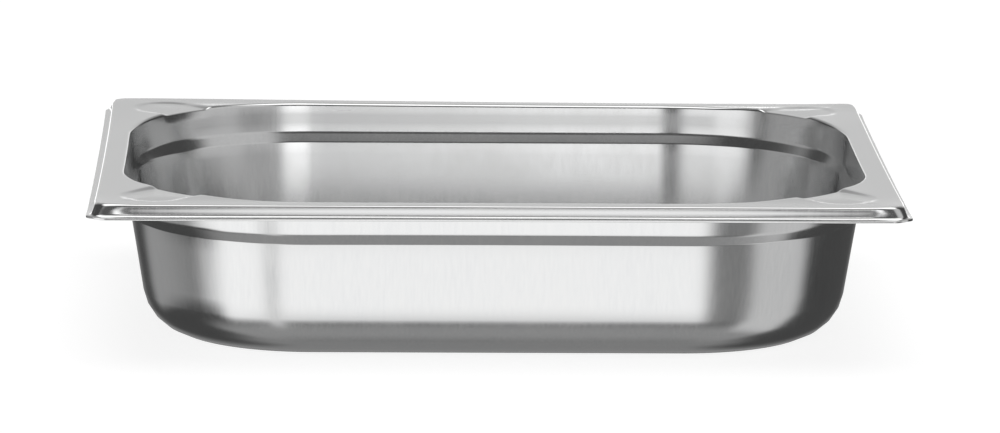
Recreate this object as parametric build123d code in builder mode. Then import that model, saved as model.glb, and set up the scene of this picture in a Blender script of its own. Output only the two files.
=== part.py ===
from build123d import *
import os
from itertools import pairwise, product
from math import atan2, degrees, hypot, sqrt, tan, radians

# A food pan of the half gastronorm size, pressed from one stainless steel sheet.
# Millimetres, +Z up, X along the long side. The origin is the centre of the flat
# base, on the surface that the pan stands on.

# Whole pan
length = 325.0
width = 265.0
depth = 66.0
sheet = 0.8

# Rim: a flat flange that turns down into a skirt and out again into a narrow lip
lip_width = 2.9
lip_drop = 4.5
skirt_corner = 5.5
skirt_bend = 1.0
lip_bend = 0.8

# Tub, outside face: upper wall, stacking shoulder, sloping body, rounded base edge
wall_gap = 11.6
wall_slope = 7.0
wall_corner = 77.1
wall_height = 13.4
shoulder_height = 4.0
shoulder_step = 2.2
shoulder_bend = 1.2
body_slope = 9.15
base_radius = 20.0
mouth_bend = 1.5

# Pads: shallow tongues pressed down into the four corners of the flange
pad_radius = 14.5
pad_depth = 1.0
pad_slope = 4.0
pad_reach = 30.0
pad_distance = 88.4
pad_edge_bend = 0.3

flange_under = depth - sheet
lip_bottom = depth - lip_drop - sheet
skirt_length = length - 2 * lip_width
skirt_width = width - 2 * lip_width
lip_corner = skirt_corner + lip_width

# Half length of the tub's outside face at each level, from the flange down to the base
wall_top_x = length / 2 - wall_gap
wall_foot_x = wall_top_x - wall_height * tan(radians(wall_slope))
shoulder_x = wall_foot_x - shoulder_step
shoulder_z = depth - wall_height - shoulder_height
base_x = shoulder_x - shoulder_z * tan(radians(body_slope))
tub_section = [
    (wall_top_x, depth),
    (wall_foot_x, depth - wall_height),
    (shoulder_x, shoulder_z),
    (base_x, 0.0),
]

# All the tub's corner arcs share one centre, seen from above
corner_x = wall_top_x - wall_corner
corner_y = corner_x - (length - width) / 2


def inward_normal(start, end):
    """Unit normal of one line of the section, pointing into the sheet."""
    along_x = end[0] - start[0]
    along_z = end[1] - start[1]
    span = hypot(along_x, along_z)
    return along_z / span, -along_x / span


def inset_section(inset):
    """The tub's section moved inwards by inset, as far as the top and the base allow."""
    first = inward_normal(tub_section[0], tub_section[1])
    points = [(tub_section[0][0] + inset / first[0], depth)]
    ends = tub_section + [(0.0, 0.0)]
    for before, corner, after in zip(ends, ends[1:], ends[2:]):
        one = inward_normal(before, corner)
        two = inward_normal(corner, after)
        mitre = inset / (1 + one[0] * two[0] + one[1] * two[1])
        points.append((corner[0] + mitre * (one[0] + two[0]), corner[1] + mitre * (one[1] + two[1])))
    return points


def filled_tub(inset):
    """The tub's outside shape at inset 0, or the space inside it at an inset of the sheet."""
    levels = inset_section(inset)
    bends = [shoulder_bend + sheet - inset, shoulder_bend + inset, base_radius - inset]
    with BuildPart() as tub:
        for (upper_x, upper_z), (lower_x, lower_z) in pairwise(levels):
            with BuildSketch(Plane.XY.offset(upper_z)):
                RectangleRounded(2 * upper_x, 2 * (upper_x - corner_x + corner_y), upper_x - corner_x)
            drop = upper_z - lower_z
            extrude(amount=-drop, taper=degrees(atan2(upper_x - lower_x, drop)))
        for (_, level), bend in zip(levels[1:], bends):
            fillet(tub.edges().filter_by_position(Axis.Z, level - 0.01, level + 0.01), radius=bend)
    return tub.part


def corner_pads(top):
    """Four tongues, one in each corner, that sink from the level top with sloping sides."""
    offset_xy = pad_distance / sqrt(2)
    with BuildPart() as pads:
        for side_x, side_y in product((-1, 1), repeat=2):
            place = (side_x * (corner_x + offset_xy), side_y * (corner_y + offset_xy), 0)
            turn = (0, 0, degrees(atan2(side_y, side_x)))
            for drop, radius in ((0.0, pad_radius), (pad_depth, pad_radius - pad_slope)):
                with BuildSketch(Plane.XY.offset(top - drop)):
                    with Locations(Location(place, turn)):
                        Circle(radius)
                        Rectangle(pad_reach, 2 * radius, align=(Align.MAX, Align.CENTER))
            loft()
    return pads.part


def level_face(part, level):
    """The largest horizontal face of a part at one level."""
    faces = part.faces().filter_by(Plane.XY).filter_by_position(Axis.Z, level - 0.01, level + 0.01)
    return faces.sort_by(SortBy.AREA)[-1]


def is_mouth_edge(edge):
    """Whether an edge of a pad's floor is the curved one where the pad meets the mouth."""
    middle = edge.center()
    out = hypot(abs(middle.X) - corner_x, abs(middle.Y) - corner_y)
    return edge.geom_type != GeomType.LINE and out < wall_corner


outside = filled_tub(0.0)
inside = filled_tub(sheet)
pads_below = corner_pads(flange_under)
pads_above = corner_pads(depth)

with BuildPart() as pan:
    # Rim, as a shallow upturned tray: lip, skirt and flange
    with BuildSketch(Plane.XY.offset(lip_bottom)):
        RectangleRounded(length, width, lip_corner)
    extrude(amount=sheet)
    with BuildSketch(Plane.XY.offset(lip_bottom)):
        RectangleRounded(skirt_length, skirt_width, skirt_corner)
    extrude(amount=depth - lip_bottom)
    fillet(pan.edges().group_by(Axis.Z)[-1], radius=skirt_bend)
    fillet(level_face(pan, lip_bottom + sheet).inner_wires()[0].edges(), radius=lip_bend)
    with BuildSketch(Plane.XY.offset(lip_bottom)):
        RectangleRounded(skirt_length - 2 * sheet, skirt_width - 2 * sheet, skirt_corner - sheet)
    extrude(amount=flange_under - lip_bottom, mode=Mode.SUBTRACT)
    lip_underside = level_face(pan, lip_bottom)
    fillet(lip_underside.inner_wires()[0].edges(), radius=lip_bend + sheet)

    # Tub, hung from the flange, with the bend that leads from one into the other
    add(outside)
    flange_underside = level_face(pan, flange_under)
    fillet(flange_underside.inner_wires()[0].edges(), radius=mouth_bend - sheet)
    fillet(level_face(pan, flange_under).outer_wire().edges(), radius=skirt_bend - sheet)
    add(pads_below)
    add(inside, mode=Mode.SUBTRACT)
    fillet(level_face(pan, depth).inner_wires()[0].edges(), radius=mouth_bend)
    add(pads_above, mode=Mode.SUBTRACT)
    pad_floor = depth - pad_depth
    pad_edges = pan.edges().filter_by_position(Axis.Z, pad_floor - 0.01, pad_floor + 0.01)
    fillet([edge for edge in pad_edges if is_mouth_edge(edge)], radius=pad_edge_bend)

pan.part.label = "pan"

os.makedirs("parts", exist_ok=True)
export_step(pan.part, "parts/pan.step")
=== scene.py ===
from math import atan2, cos, hypot, pi, radians, sin, sqrt, tan

import bpy
import numpy as np
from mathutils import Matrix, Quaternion, Vector


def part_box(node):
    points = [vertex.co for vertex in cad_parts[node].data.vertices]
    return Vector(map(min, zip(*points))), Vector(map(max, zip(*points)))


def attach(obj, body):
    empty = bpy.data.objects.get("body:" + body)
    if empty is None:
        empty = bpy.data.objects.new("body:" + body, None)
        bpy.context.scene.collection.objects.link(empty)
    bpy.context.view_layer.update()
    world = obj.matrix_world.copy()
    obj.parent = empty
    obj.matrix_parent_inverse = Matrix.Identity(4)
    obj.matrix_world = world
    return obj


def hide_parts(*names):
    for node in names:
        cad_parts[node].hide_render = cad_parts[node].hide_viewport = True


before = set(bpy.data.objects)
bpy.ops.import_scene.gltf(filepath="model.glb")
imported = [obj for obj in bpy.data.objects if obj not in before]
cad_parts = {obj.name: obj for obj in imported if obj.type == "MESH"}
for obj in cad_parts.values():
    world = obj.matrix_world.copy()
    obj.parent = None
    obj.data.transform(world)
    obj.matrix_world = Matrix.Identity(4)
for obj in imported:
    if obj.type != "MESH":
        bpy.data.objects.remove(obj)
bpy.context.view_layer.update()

# Metres. The frame's box gives the outside size, and the other sizes are the pan's own.
pan_low, pan_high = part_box("pan")
LENGTH = pan_high.x - pan_low.x
WIDTH = pan_high.y - pan_low.y
DEPTH = pan_high.z - pan_low.z
MM = 0.001
SHEET = 0.8 * MM

# Rim
LIP_WIDTH = 2.9 * MM
LIP_DROP = 4.5 * MM
SKIRT_CORNER = 5.5 * MM
SKIRT_BEND = 1.0 * MM
LIP_BEND = 0.8 * MM
EDGE_ROUND = 0.2 * MM

# Tub, outside face
WALL_GAP = 11.6 * MM
WALL_SLOPE = radians(7.0)
WALL_CORNER = 77.1 * MM
WALL_HEIGHT = 13.4 * MM
SHOULDER_HEIGHT = 4.0 * MM
SHOULDER_STEP = 2.2 * MM
WALL_BEND = 4.0 * MM
SHOULDER_BEND = 1.6 * MM
BODY_SLOPE = radians(9.15)
BASE_RADIUS = 20.0 * MM
MOUTH_BEND = 1.5 * MM

# Corner pads
PAD_RADIUS = 14.5 * MM
PAD_DEPTH = 1.0 * MM
PAD_TIP_DEPTH = 0.4 * MM
PAD_SLOPE = 4.0 * MM
PAD_DISTANCE = 88.4 * MM
PAD_SOFTNESS = 0.3

# Strains left by pressing and use, which keep the pan within its nominal size: the rim settles
# between its corners, the back edge leans to one side, the ends bow in, the skirt leans in at
# mid-length and slants out to the lip at the corners, the lip hangs a little, and the shoulder
# isn't quite level
RIM_SETTLE = 0.7 * MM
RIM_START = 0.9
RIM_SPAN = 0.1
RIM_SOFTNESS = 0.5
CURL_REACH = 30 * MM
BACK_DROOP = 0.33 * MM
BACK_TILT = 0.89 * MM
BACK_ARCH = 0.6 * MM
FRONT_RISE = 0.45 * MM
LIP_SLOPE = radians(7)
LEVEL_SOFTNESS = 0.3 * MM
END_BOW = 0.7 * MM
SKIRT_TUCK = 0.35 * MM
LEAN_IN = radians(2.2)
LEAN_OUT = radians(3.5)
LEAN_REACH = 6 * MM
SHOULDER_TILT = 0.55 * MM
SHOULDER_REACH = 14 * MM
SHOULDER_SAG = 0.7 * MM
SAG_SIDE = 0.5
CORNER_SLANT = 5.0 * MM
SLANT_PIVOT = 0.4
SLANT_REACH = 16 * MM

# Bends of this radius or less are rubbed smoother by cloths and by other pans, and are painted
# lighter as a painted highlight along the bend
WEAR_AND_SHEEN_RADIUS = 1.0 * MM

# Mesh: columns along each straight side and round each corner, and rows across the flange
LONG_STEPS = 24
SHORT_STEPS = 14
CORNER_SIDE = radians(32)
TURN_SIDE = radians(40)
WIDE_STEPS = 20
FINE_STEPS = 10
TURN_STEPS = 10
FLANGE_ROWS = 40

# Mesh: the turn from row to row round a bend and the longest step along a straight stretch, for
# the top face and for the face under the sheet, and the longest step on the rim
TOP_TURN = radians(11)
TOP_STEP = 5 * MM
UNDER_TURN = radians(15)
UNDER_STEP = 7 * MM
RIM_STEP = 2 * MM
FEWEST_SPOKES = 3


# ---------------------------------------------------------------- section

def inward_normal(start, end):
    """Unit normal of one line of the section, pointing into the sheet."""
    along, rise = end[0] - start[0], end[1] - start[1]
    span = hypot(along, rise)
    return rise / span, -along / span


def inset_section(points, inset):
    """Corner points of an open section moved inwards by inset, with both ends left level."""
    first = inward_normal(points[0], points[1])
    moved = [(points[0][0] + inset / first[0], points[0][1])]
    for before, corner, after in zip(points, points[1:], points[2:]):
        one = inward_normal(before, corner)
        two = inward_normal(corner, after)
        mitre = inset / (1 + one[0] * two[0] + one[1] * two[1])
        moved.append((corner[0] + mitre * (one[0] + two[0]), corner[1] + mitre * (one[1] + two[1])))
    return moved


def bent_path(points, radii, step, longest):
    """A section line through points with its corners rounded, as rows of (out, height)."""
    path = [np.array(points[0])]
    for before, corner, after, radius in zip(points, points[1:], points[2:], radii):
        before, corner, after = map(np.array, (before, corner, after))
        back = (before - corner) / np.linalg.norm(before - corner)
        ahead = (after - corner) / np.linalg.norm(after - corner)
        turn = pi - np.arccos(np.clip(back @ ahead, -1, 1))
        reach = radius * tan(turn / 2)
        start, end = corner + back * reach, corner + ahead * reach
        middle = (back + ahead) / np.linalg.norm(back + ahead)
        centre = corner + middle * radius / cos(turn / 2)
        fill_line(path, start, longest)
        spokes = max(FEWEST_SPOKES, round(turn / step))
        for k in range(1, spokes + 1):
            share = k / spokes
            spoke = (start - centre) * sin((1 - share) * turn) + (end - centre) * sin(share * turn)
            path.append(centre + spoke / sin(turn))
    fill_line(path, np.array(points[-1]), longest)
    return np.array(path)


def fill_line(path, end, longest):
    """Adds the straight stretch up to end, in steps no longer than longest."""
    start = path[-1]
    steps = max(1, int(np.ceil(np.linalg.norm(end - start) / longest)))
    for k in range(1, steps + 1):
        path.append(start + (end - start) * k / steps)


# The skeletons that every ring of the pan is drawn round: one for the tub, one for the rim
WALL_TOP_X = LENGTH / 2 - WALL_GAP
WALL_FOOT_X = WALL_TOP_X - WALL_HEIGHT * tan(WALL_SLOPE)
SHOULDER_X = WALL_FOOT_X - SHOULDER_STEP
SHOULDER_Z = -WALL_HEIGHT - SHOULDER_HEIGHT
BASE_X = SHOULDER_X - (DEPTH + SHOULDER_Z) * tan(BODY_SLOPE)
TUB_X = WALL_TOP_X - WALL_CORNER
TUB_Y = TUB_X - (LENGTH - WIDTH) / 2
WALL_TOP_Y = WALL_TOP_X - (LENGTH - WIDTH) / 2
RIM_X = LENGTH / 2 - LIP_WIDTH - SKIRT_CORNER
RIM_GAP = RIM_X - TUB_X
TUB_SECTION = [
    (WALL_CORNER, 0.0),
    (WALL_FOOT_X - TUB_X, -WALL_HEIGHT),
    (SHOULDER_X - TUB_X, SHOULDER_Z),
    (BASE_X - TUB_X, -DEPTH),
    (0.0, -DEPTH),
]
FLANGE_EDGE = SKIRT_CORNER - 2 * SKIRT_BEND
MOUTH_EDGE = WALL_CORNER + MOUTH_BEND


def rim_path(under, step):
    """Section of the lip, skirt and edge of the flange: its top skin, or under the sheet."""
    edge = SKIRT_CORNER + LIP_WIDTH
    skirt = SKIRT_CORNER - under
    points = [
        (edge, -LIP_DROP - SHEET / 2),
        (edge, -LIP_DROP - under),
        (skirt, -LIP_DROP - under),
        (skirt, -under),
        (FLANGE_EDGE, -under),
    ]
    radii = [EDGE_ROUND, LIP_BEND + under, SKIRT_BEND - under]
    return bent_path(points, radii, step, RIM_STEP)


def tub_path(under, step, longest):
    """Section from the flange's inner edge down the wall and in to the middle of the floor."""
    inset = SHEET - under
    points = inset_section(TUB_SECTION, inset)
    mouth = points[0][0] - under * tan(WALL_SLOPE)
    points = [(MOUTH_EDGE, -under), (mouth, -under)] + points[1:] + [(0.0, inset - DEPTH)]
    radii = [MOUTH_BEND - under, WALL_BEND + under, SHOULDER_BEND + inset, BASE_RADIUS - inset]
    return bent_path(points, radii, step, longest)


# ---------------------------------------------------------------- plan

def corner_columns():
    """One corner's columns, as the tub's direction and the rim's skeleton point and direction.

    The origin is the tub's corner centre. The rim turns its tight corner while the tub's
    direction swings through the middle of the quarter turn, where the pad lies."""
    reach = RIM_GAP + FLANGE_EDGE
    side_end = atan2(RIM_GAP, reach)
    directions = [CORNER_SIDE * k / WIDE_STEPS for k in range(WIDE_STEPS)]
    fine = TURN_SIDE - CORNER_SIDE
    directions += [CORNER_SIDE + fine * k / FINE_STEPS for k in range(FINE_STEPS)]
    side = [(a, complex(RIM_GAP, reach * tan(a * side_end / TURN_SIDE)), 0.0) for a in directions]
    turns = [k / TURN_STEPS for k in range(TURN_STEPS + 1)]
    swing = pi / 2 - 2 * TURN_SIDE
    middle = [(TURN_SIDE + swing * k, RIM_GAP * (1 + 1j), k * pi / 2) for k in turns]
    mirrored = [(pi / 2 - a, complex(p.imag, p.real), pi / 2) for a, p, _ in reversed(side)]
    return np.array(side + middle + mirrored)


def plan_columns():
    """All columns anticlockwise round the pan: tub point and direction, rim point and direction."""
    direction, rim_point, rim_turn = corner_columns().T
    corners = []
    for quarter, (side_x, side_y) in enumerate([(1, 1), (-1, 1), (-1, -1), (1, -1)]):
        centre = complex(side_x * TUB_X, side_y * TUB_Y)
        turned = np.exp(0.5j * pi * quarter)
        tub_out = turned * np.exp(1j * direction)
        rim_out = turned * np.exp(1j * rim_turn)
        rim = centre + turned * rim_point
        corners.append(np.array([centre + 0 * tub_out, tub_out, rim, rim_out]))
    columns = []
    following_corners = corners[1:] + corners[:1]
    side_steps = 2 * [LONG_STEPS, SHORT_STEPS]
    for corner, following, steps in zip(corners, following_corners, side_steps):
        columns.append(corner)
        share = np.arange(1, steps) / steps
        columns.append(corner[:, -1:] * (1 - share) + following[:, :1] * share)
    return np.concatenate(columns, axis=1)


# ---------------------------------------------------------------- shape

def eased(share, soft):
    """Rises from 0 to 1 at an even slope, with the two ends bent over the soft share of it."""
    share = np.clip(share, 0, 1)
    start = share ** 2 / (2 * soft)
    end = 1 - soft - (1 - share) ** 2 / (2 * soft)
    risen = np.where(share > 1 - soft, end, share - soft / 2)
    return np.where(share < soft, start, risen) / (1 - soft)


def pad_sink(plan):
    """How deep each plan point has sunk with its corner pad. The pads deepen towards the mouth."""
    along_x, along_y = np.abs(plan.real) - TUB_X, np.abs(plan.imag) - TUB_Y
    out = (along_x + along_y) / sqrt(2) - PAD_DISTANCE
    aside = (along_x - along_y) / sqrt(2)
    reach = np.where(out > 0, np.hypot(out, aside), np.abs(aside))
    to_mouth = np.clip((PAD_RADIUS - out) / (PAD_RADIUS + PAD_DISTANCE - MOUTH_EDGE), 0, 1)
    depth = PAD_TIP_DEPTH + (PAD_DEPTH - PAD_TIP_DEPTH) * to_mouth
    return depth * eased((PAD_RADIUS - reach) / PAD_SLOPE, PAD_SOFTNESS)


def tightness(path):
    """How tightly a section line bends at each point, from 0 on a straight stretch to 1."""
    legs = np.diff(path, axis=0)
    turns = np.abs(np.diff(np.unwrap(np.arctan2(legs[:, 1], legs[:, 0]))))
    lengths = np.linalg.norm(legs, axis=1)
    bends = np.pad(turns / (lengths[:-1] + lengths[1:]) * 2, 1)
    return np.clip(bends * WEAR_AND_SHEEN_RADIUS, 0, 1)


def skin(columns, under, step, flange_rows, longest):
    """One face of the sheet as rows of points round the pan, from the lip's edge in to the floor.

    Each point is x, y, z and how worn the steel is there, which also sets how much painted
    highlight it gets."""
    tub, tub_out, rim, rim_out = columns
    rim_section, tub_section = rim_path(under, step), tub_path(under, step, longest)
    rows = [(rim + rim_out * out, height) for out, height in rim_section]
    edge, mouth = rows[-1][0], tub + tub_out * MOUTH_EDGE
    rows += [(edge + (mouth - edge) * k / flange_rows, -under) for k in range(1, flange_rows)]
    rows += [(tub + tub_out * out, height) for out, height in tub_section]
    plan = np.array([points for points, _ in rows])
    height = np.array([[level] for _, level in rows])
    sink = pad_sink(plan) * np.clip((height + MOUTH_BEND) / (MOUTH_BEND - under), 0, 1)
    sink = np.where(height > -MOUTH_BEND, sink, 0)
    flat = np.zeros(flange_rows - 1)
    # How tightly each row bends: this sets the wear that smooths the bends and the painted
    # highlight on them
    wear_and_sheen = np.concatenate([tightness(rim_section), flat, tightness(tub_section)])
    wear_and_sheen = np.broadcast_to(wear_and_sheen[:, None], plan.shape)
    x, y, z = settled(plan.real, plan.imag, DEPTH + height - sink)
    return np.stack([x, y, z, wear_and_sheen], axis=2)


def settled(x, y, z):
    """Points with the small strains that pressing and use leave, the same on both faces."""
    across, along = x / (LENGTH / 2), y / (WIDTH / 2)
    rim_share = np.clip((z - DEPTH + 2 * WALL_HEIGHT) / (2 * WALL_HEIGHT), 0, 1) ** 2
    outer = np.maximum(np.abs(x) / WALL_TOP_X, (np.abs(y) + WALL_TOP_X - WALL_TOP_Y) / WALL_TOP_X)
    outer = eased((outer - RIM_START) / RIM_SPAN, RIM_SOFTNESS)
    bow = END_BOW * rim_share * outer * (1 - along ** 2) * across ** 3
    back = BACK_DROOP + BACK_TILT * across - BACK_ARCH * across ** 2
    level = RIM_SETTLE + np.where(y > 0, back, -FRONT_RISE) * along ** 4
    corner = np.minimum(np.hypot(np.abs(x) - LENGTH / 2, np.abs(y) - WIDTH / 2) / CURL_REACH, 1)
    level = level - RIM_SETTLE * (1 - corner) ** 2
    droop = rim_share * outer * (level + np.hypot(level, LEVEL_SOFTNESS)) / 2
    skirt = np.clip((np.abs(y) - WIDTH / 2 + LEAN_REACH) / (LEAN_REACH / 2), 0, 1)
    lean = tan(LEAN_OUT) * across ** 4 - tan(LEAN_IN) * (1 - across ** 4)
    shift = np.sign(y) * skirt * ((DEPTH - z) * lean - SKIRT_TUCK)
    beyond = np.maximum(np.abs(x) - LENGTH / 2, np.abs(y) - WIDTH / 2) + LIP_WIDTH
    hang = tan(LIP_SLOPE) * np.clip(beyond, 0, LIP_WIDTH)
    below = (DEPTH + SHOULDER_Z + SHOULDER_HEIGHT / 2 - z) / SHOULDER_REACH
    sag = SHOULDER_SAG * across ** 2 * (1 - SAG_SIDE * across) * (1 - along) / 2
    tilt = (SHOULDER_TILT * along - sag) * (1 - np.clip(np.abs(below), 0, 1) ** 2) ** 2
    slant = corner_slant(x, y, z)
    return x - bow + np.sign(x) * slant, y + shift + np.sign(y) * slant, z - droop - hang + tilt


def corner_slant(x, y, z):
    """How far points near the rim's corners move out along each axis. The lip's edge stays."""
    aside_x = np.abs(x) - LENGTH / 2 + LIP_WIDTH + SKIRT_CORNER
    aside_y = np.abs(y) - WIDTH / 2 + LIP_WIDTH + SKIRT_CORNER
    beyond = np.hypot(np.maximum(aside_x, 0), np.maximum(aside_y, 0)) - SKIRT_CORNER
    to_corner = np.hypot(np.abs(x) - LENGTH / 2, np.abs(y) - WIDTH / 2) / SLANT_REACH
    share = np.clip(1 - to_corner, 0, 1) * (1 - np.clip(beyond / LIP_WIDTH, 0, 1))
    level = np.clip((DEPTH - z) / LIP_DROP, 0, 1)
    return CORNER_SLANT / sqrt(2) * share * (level - SLANT_PIVOT)


def pan_mesh():
    """The whole sheet as one closed mesh: both faces, joined round the lip's cut edge."""
    columns = plan_columns()
    top = skin(columns, 0.0, TOP_TURN, FLANGE_ROWS, TOP_STEP)
    below = skin(columns, SHEET, UNDER_TURN, FLANGE_ROWS // 2, UNDER_STEP)
    points, faces = [], []
    shared = add_skin(points, faces, top, None, False)
    add_skin(points, faces, below, shared, True)
    points = np.array(points)
    mesh = bpy.data.meshes.new("pan_body")
    mesh.from_pydata(points[:, :3].tolist(), [], faces)
    mesh.attributes.new("wear_and_sheen", "FLOAT", "POINT").data.foreach_set("value", points[:, 3])
    mesh.shade_smooth()
    return mesh


def add_skin(points, faces, rows, first_ring, flip):
    """Adds one face of the sheet. Its outer ring is first_ring if given, and is returned."""
    ring = first_ring
    if ring is None:
        ring = np.arange(len(rows[0])) + len(points)
        points.extend(map(tuple, rows[0]))
    outer = ring
    for row in rows[1:-1]:
        inner = np.arange(len(row)) + len(points)
        points.extend(map(tuple, row))
        join_rings(faces, outer, inner, flip)
        outer = inner
    floor = floor_grid(points, faces, rows[-1], flip)
    join_rings(faces, outer, floor, flip)
    return ring


def join_rings(faces, outer, inner, flip):
    """A band of quads between two rings, with triangles where the inner ring stands still."""
    for quad in np.stack([outer, np.roll(outer, -1), np.roll(inner, -1), inner], axis=1).tolist():
        corners = list(dict.fromkeys(quad))
        faces.append(corners[::-1] if flip else corners)


def floor_grid(points, faces, ring, flip):
    """Fills the rectangle inside the last ring with a grid, and returns the ring's own vertices."""
    first = len(points)
    height = ring[0][2]
    for y in np.linspace(-TUB_Y, TUB_Y, SHORT_STEPS + 1):
        for x in np.linspace(-TUB_X, TUB_X, LONG_STEPS + 1):
            points.append((x, y, height, 0))
    for j in range(SHORT_STEPS):
        for i in range(LONG_STEPS):
            corner = first + j * (LONG_STEPS + 1) + i
            quad = [corner, corner + 1, corner + LONG_STEPS + 2, corner + LONG_STEPS + 1]
            faces.append(quad[::-1] if flip else quad)
    i = np.rint((ring[:, 0] / TUB_X + 1) / 2 * LONG_STEPS).astype(int)
    j = np.rint((ring[:, 1] / TUB_Y + 1) / 2 * SHORT_STEPS).astype(int)
    return first + j * (LONG_STEPS + 1) + i


# ---------------------------------------------------------------- materials

def new_material(name):
    """A new material with its nodes, its links and its shader."""
    material = bpy.data.materials.new(name)
    material.use_nodes = True
    nodes = material.node_tree.nodes
    return material, nodes, material.node_tree.links, nodes["Principled BSDF"]


def noise(nodes, links, scale, turn, detail):
    """Noise over the object, with its own scale per metre along each axis, turned about Z."""
    place = nodes.new("ShaderNodeTexCoord")
    mapping = nodes.new("ShaderNodeMapping")
    links.new(place.outputs["Object"], mapping.inputs["Vector"])
    mapping.inputs["Rotation"].default_value = (0, 0, turn)
    mapping.inputs["Scale"].default_value = scale
    texture = nodes.new("ShaderNodeTexNoise")
    links.new(mapping.outputs["Vector"], texture.inputs["Vector"])
    texture.inputs["Scale"].default_value = 1.0
    texture.inputs["Detail"].default_value = detail
    return texture.outputs["Fac"]


def spread(nodes, links, value, start, end, low, high):
    """A value mapped from start..end to low..high, held at the ends."""
    node = nodes.new("ShaderNodeMapRange")
    links.new(value, node.inputs["Value"])
    sockets = ("From Min", "From Max", "To Min", "To Max")
    for socket, number in zip(sockets, (start, end, low, high)):
        node.inputs[socket].default_value = number
    return node.outputs["Result"]


def total(nodes, links, values):
    """The sum of several values."""
    result = values[0]
    for value in values[1:]:
        node = nodes.new("ShaderNodeMath")
        links.new(result, node.inputs[0])
        links.new(value, node.inputs[1])
        result = node.outputs[0]
    return result


def steel():
    """Drawn sheet: upright drawing lines, cloudy patches, worn bends with a painted highlight, and
    fine scratches.
    """
    material, nodes, links, shader = new_material("stainless_steel")
    drawn = noise(nodes, links, (1100, 1100, 14), 0, 3)
    clouds = noise(nodes, links, (26, 26, 34), 0, 4)
    streaks = noise(nodes, links, (210, 210, 7), 0, 2)
    grain = noise(nodes, links, (2600, 2600, 2600), 0, 1)
    long_scratch = noise(nodes, links, (16, 1500, 300), radians(24), 2)
    cross_scratch = noise(nodes, links, (1300, 20, 300), radians(-13), 2)
    wear_and_sheen = nodes.new("ShaderNodeAttribute")
    wear_and_sheen.attribute_name = "wear_and_sheen"
    scratches = [
        spread(nodes, links, scratch, 0.70, 0.78, 0, 1) for scratch in (long_scratch, cross_scratch)
    ]

    tone = total(nodes, links, [
        spread(nodes, links, clouds, 0.3, 0.7, 0.27, 0.53),
        spread(nodes, links, streaks, 0.3, 0.7, -0.05, 0.06),
        spread(nodes, links, drawn, 0.3, 0.7, -0.12, 0.12),
        # Tight bends are painted lighter here: a painted highlight along each bend, not a colour of
        # the steel
        spread(nodes, links, wear_and_sheen.outputs["Fac"], 0, 1, 0, 0.35),
    ])
    colour = nodes.new("ShaderNodeValToRGB")
    links.new(tone, colour.inputs["Fac"])
    colour.color_ramp.elements[0].color = (0.57, 0.575, 0.58, 1)
    colour.color_ramp.elements[1].color = (0.70, 0.70, 0.695, 1)
    links.new(colour.outputs["Color"], shader.inputs["Base Color"])

    roughness = total(nodes, links, [
        spread(nodes, links, clouds, 0.3, 0.7, 0.155, 0.20),
        spread(nodes, links, streaks, 0.3, 0.7, -0.008, 0.008),
        spread(nodes, links, drawn, 0.3, 0.7, -0.015, 0.02),
        # Tight bends are rubbed smoother, from wear
        spread(nodes, links, wear_and_sheen.outputs["Fac"], 0, 1, 0, -0.09),
    ] + [spread(nodes, links, scratch, 0, 1, 0, 0.03) for scratch in scratches])
    links.new(roughness, shader.inputs["Roughness"])
    shader.inputs["Metallic"].default_value = 1.0

    relief = total(nodes, links, [drawn, spread(nodes, links, grain, 0, 1, 0, 0.35)] + scratches)
    bump = nodes.new("ShaderNodeBump")
    bump.inputs["Strength"].default_value = 0.2
    bump.inputs["Distance"].default_value = 0.004 * MM
    links.new(relief, bump.inputs["Height"])
    links.new(bump.outputs["Normal"], shader.inputs["Normal"])
    return material


def floor_paint():
    """A pale matt floor that glows a little, so that it stays even and almost white."""
    material, nodes, links, shader = new_material("floor_paint")
    shader.inputs["Base Color"].default_value = (0.35, 0.35, 0.35, 1)
    shader.inputs["Roughness"].default_value = 1.0
    shader.inputs["Specular IOR Level"].default_value = 0.0
    shader.inputs["Emission Color"].default_value = (1, 1, 1, 1)
    shader.inputs["Emission Strength"].default_value = 0.82
    return material


# ---------------------------------------------------------------- studio

# What stands round the pan, each in front of those above it: azimuth from the front to the right,
# elevation, half width, half height, softness of the side and level edges (degrees), brightness
PANELS = [
    ("table", 0, -80, 180, 14, 20, 20, 0.30),
    ("table_front", 0, -62, 95, 16, 20, 20, 0.38),
    ("table_back", 180, -50, 16, 44, 20, 20, 0.30),
    ("left_horizon", -108, -15, 32, 10, 16, 8, 0.42),
    ("left_wall", -92, 12, 22, 14, 14, 10, 0.45),
    ("back_ceiling", 180, 40, 44, 18, 24, 12, 0.42),
    ("back_wall", 180, 14, 34, 12, 20, 8, 0.70),
    ("back_horizon", 180, -0.5, 26, 4, 16, 4, 1.7),
    ("upper_right", 52, 30, 33, 30, 14, 14, 0.72),
    ("gap", 34, -18, 14, 24, 10, 16, 0.28),
    ("right_box", 72, -25, 22, 29, 14, 14, 0.77),
    ("window_side", -66, -16, 13, 11, 20, 12, 1.45),
    ("window", -24, -22, 44, 18, 14, 16, 1.42),
    ("window_bar", -28, -36, 5, 16, 10, 12, 0.90),
    ("window_top", -39, 5, 21, 14, 16, 12, 1.35),
    ("front_wall", -4, 4, 30, 5, 10, 6, 0.50),
    ("front_left", -24, 12.5, 11, 7, 10, 6, 1.35),
    ("front_glow", 10, 12.5, 10, 7, 8, 6, 1.85),
    ("camera", -2, -4, 12, 5, 8, 5, 0.18),
    ("dark_room", -10, 33, 36, 15, 16, 8, 0.12),
    ("ceiling_edge", -5, 54, 44, 8, 20, 8, 0.5),
    ("overhead", 0, 90, 180, 26, 16, 16, 2.0),
]
BASE_LIGHT = 0.08
BACKDROP = 1.0

# Metres, millimetres for the lens and its sensor
FLOOR_HALF = 20
SENSOR = 36.0
LENS = 240.5
VIEW_END = 60
EYE = (-0.0742, -2.7043, 0.5287)
TARGET = (0.0034, -0.0048, 0.0391)
ROLL = radians(-0.535)


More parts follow.
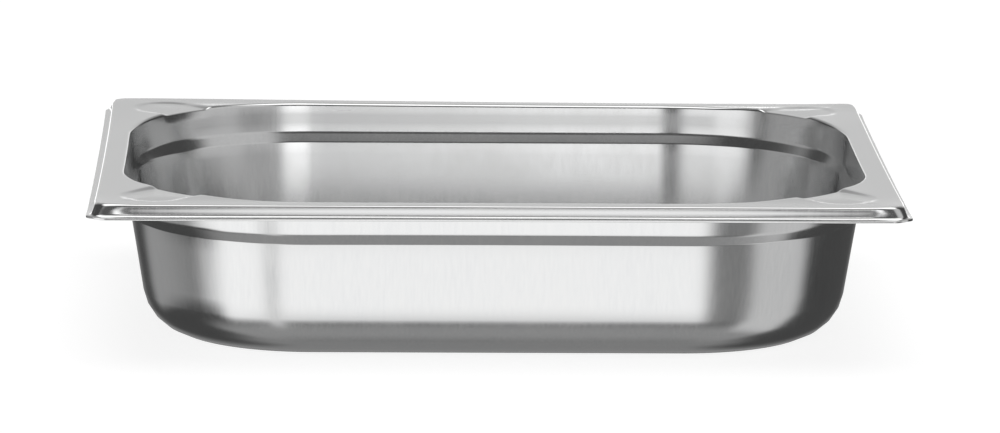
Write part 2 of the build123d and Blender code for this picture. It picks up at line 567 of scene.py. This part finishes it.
def studio_world():
    """The light from all the panels as the world's colour, with an even backdrop for the camera."""
    world = bpy.data.worlds.new("studio")
    bpy.context.scene.world = world
    world.use_nodes = True
    nodes, links = world.node_tree.nodes, world.node_tree.links
    background = nodes["Background"]
    direction = nodes.new("ShaderNodeTexCoord").outputs["Generated"]

    def math(operation, *values):
        """A Math node on sockets or plain numbers."""
        node = nodes.new("ShaderNodeMath")
        node.operation = operation
        for socket, value in zip(node.inputs, values):
            if isinstance(value, (int, float)):
                socket.default_value = value
            else:
                links.new(value, socket)
        return node.outputs[0]

    def window(angle, half, soft):
        """One inside half degrees either side of 0 and none outside, with soft degrees between."""
        node = nodes.new("ShaderNodeMapRange")
        node.interpolation_type = "SMOOTHSTEP"
        links.new(math("ABSOLUTE", angle), node.inputs["Value"])
        node.inputs["From Min"].default_value = radians(half - soft / 2)
        node.inputs["From Max"].default_value = radians(half + soft / 2)
        node.inputs["To Min"].default_value = 1
        node.inputs["To Max"].default_value = 0
        return node.outputs["Result"]

    def mix(share, first, second):
        """Goes from first to second as share goes from 0 to 1."""
        node = nodes.new("ShaderNodeMix")
        node.data_type = "FLOAT"
        for socket, value in zip(node.inputs[:1] + node.inputs[2:4], (share, first, second)):
            if isinstance(value, (int, float)):
                socket.default_value = value
            else:
                links.new(value, socket)
        return node.outputs["Result"]

    split = nodes.new("ShaderNodeSeparateXYZ")
    links.new(direction, split.inputs[0])
    elevation = math("ARCSINE", split.outputs["Z"])
    light = BASE_LIGHT
    for name, azimuth, height, half_width, half_height, soft_side, soft_level, brightness in PANELS:
        turn = nodes.new("ShaderNodeVectorRotate")
        turn.label = name
        turn.rotation_type = "Z_AXIS"
        turn.inputs["Angle"].default_value = -radians(azimuth)
        links.new(direction, turn.inputs["Vector"])
        ahead = nodes.new("ShaderNodeSeparateXYZ")
        links.new(turn.outputs[0], ahead.inputs[0])
        aside = math("ARCTAN2", ahead.outputs["X"], math("MULTIPLY", ahead.outputs["Y"], -1))
        across = window(aside, half_width, soft_side)
        rise = window(math("SUBTRACT", elevation, radians(height)), half_height, soft_level)
        light = mix(math("MULTIPLY", across, rise), light, brightness)

    ray = nodes.new("ShaderNodeLightPath")
    links.new(mix(ray.outputs["Is Camera Ray"], light, BACKDROP), background.inputs["Color"])


def floor():
    """A large plain floor. The pan doesn't mirror it, but mirrors the panels below the horizon."""
    mesh = bpy.data.meshes.new("floor")
    corners = [(-1, -1), (1, -1), (1, 1), (-1, 1)]
    mesh.from_pydata([(x * FLOOR_HALF, y * FLOOR_HALF, 0) for x, y in corners], [], [(0, 1, 2, 3)])
    mesh.materials.append(floor_paint())
    plane = bpy.data.objects.new("floor", mesh)
    bpy.context.scene.collection.objects.link(plane)
    plane.visible_glossy = False


def camera():
    """A long lens in front of the pan, a little to the left of its middle and ten degrees above."""
    data = bpy.data.cameras.new("camera")
    data.sensor_width = SENSOR
    data.lens = LENS
    data.clip_end = VIEW_END
    eye = Vector(EYE)
    view = bpy.data.objects.new("camera", data)
    bpy.context.scene.collection.objects.link(view)
    ahead = (Vector(TARGET) - eye).normalized()
    view.rotation_mode = "QUATERNION"
    view.rotation_quaternion = Quaternion(ahead, ROLL) @ ahead.to_track_quat("-Z", "Y")
    view.location = eye
    bpy.context.scene.camera = view


# ---------------------------------------------------------------- scene

pan = bpy.data.objects.new("pan_body", pan_mesh())
bpy.context.scene.collection.objects.link(pan)
pan.data.materials.append(steel())
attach(pan, "root")
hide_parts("pan")

floor()
studio_world()
camera()
bpy.context.scene.view_settings.view_transform = "Standard"
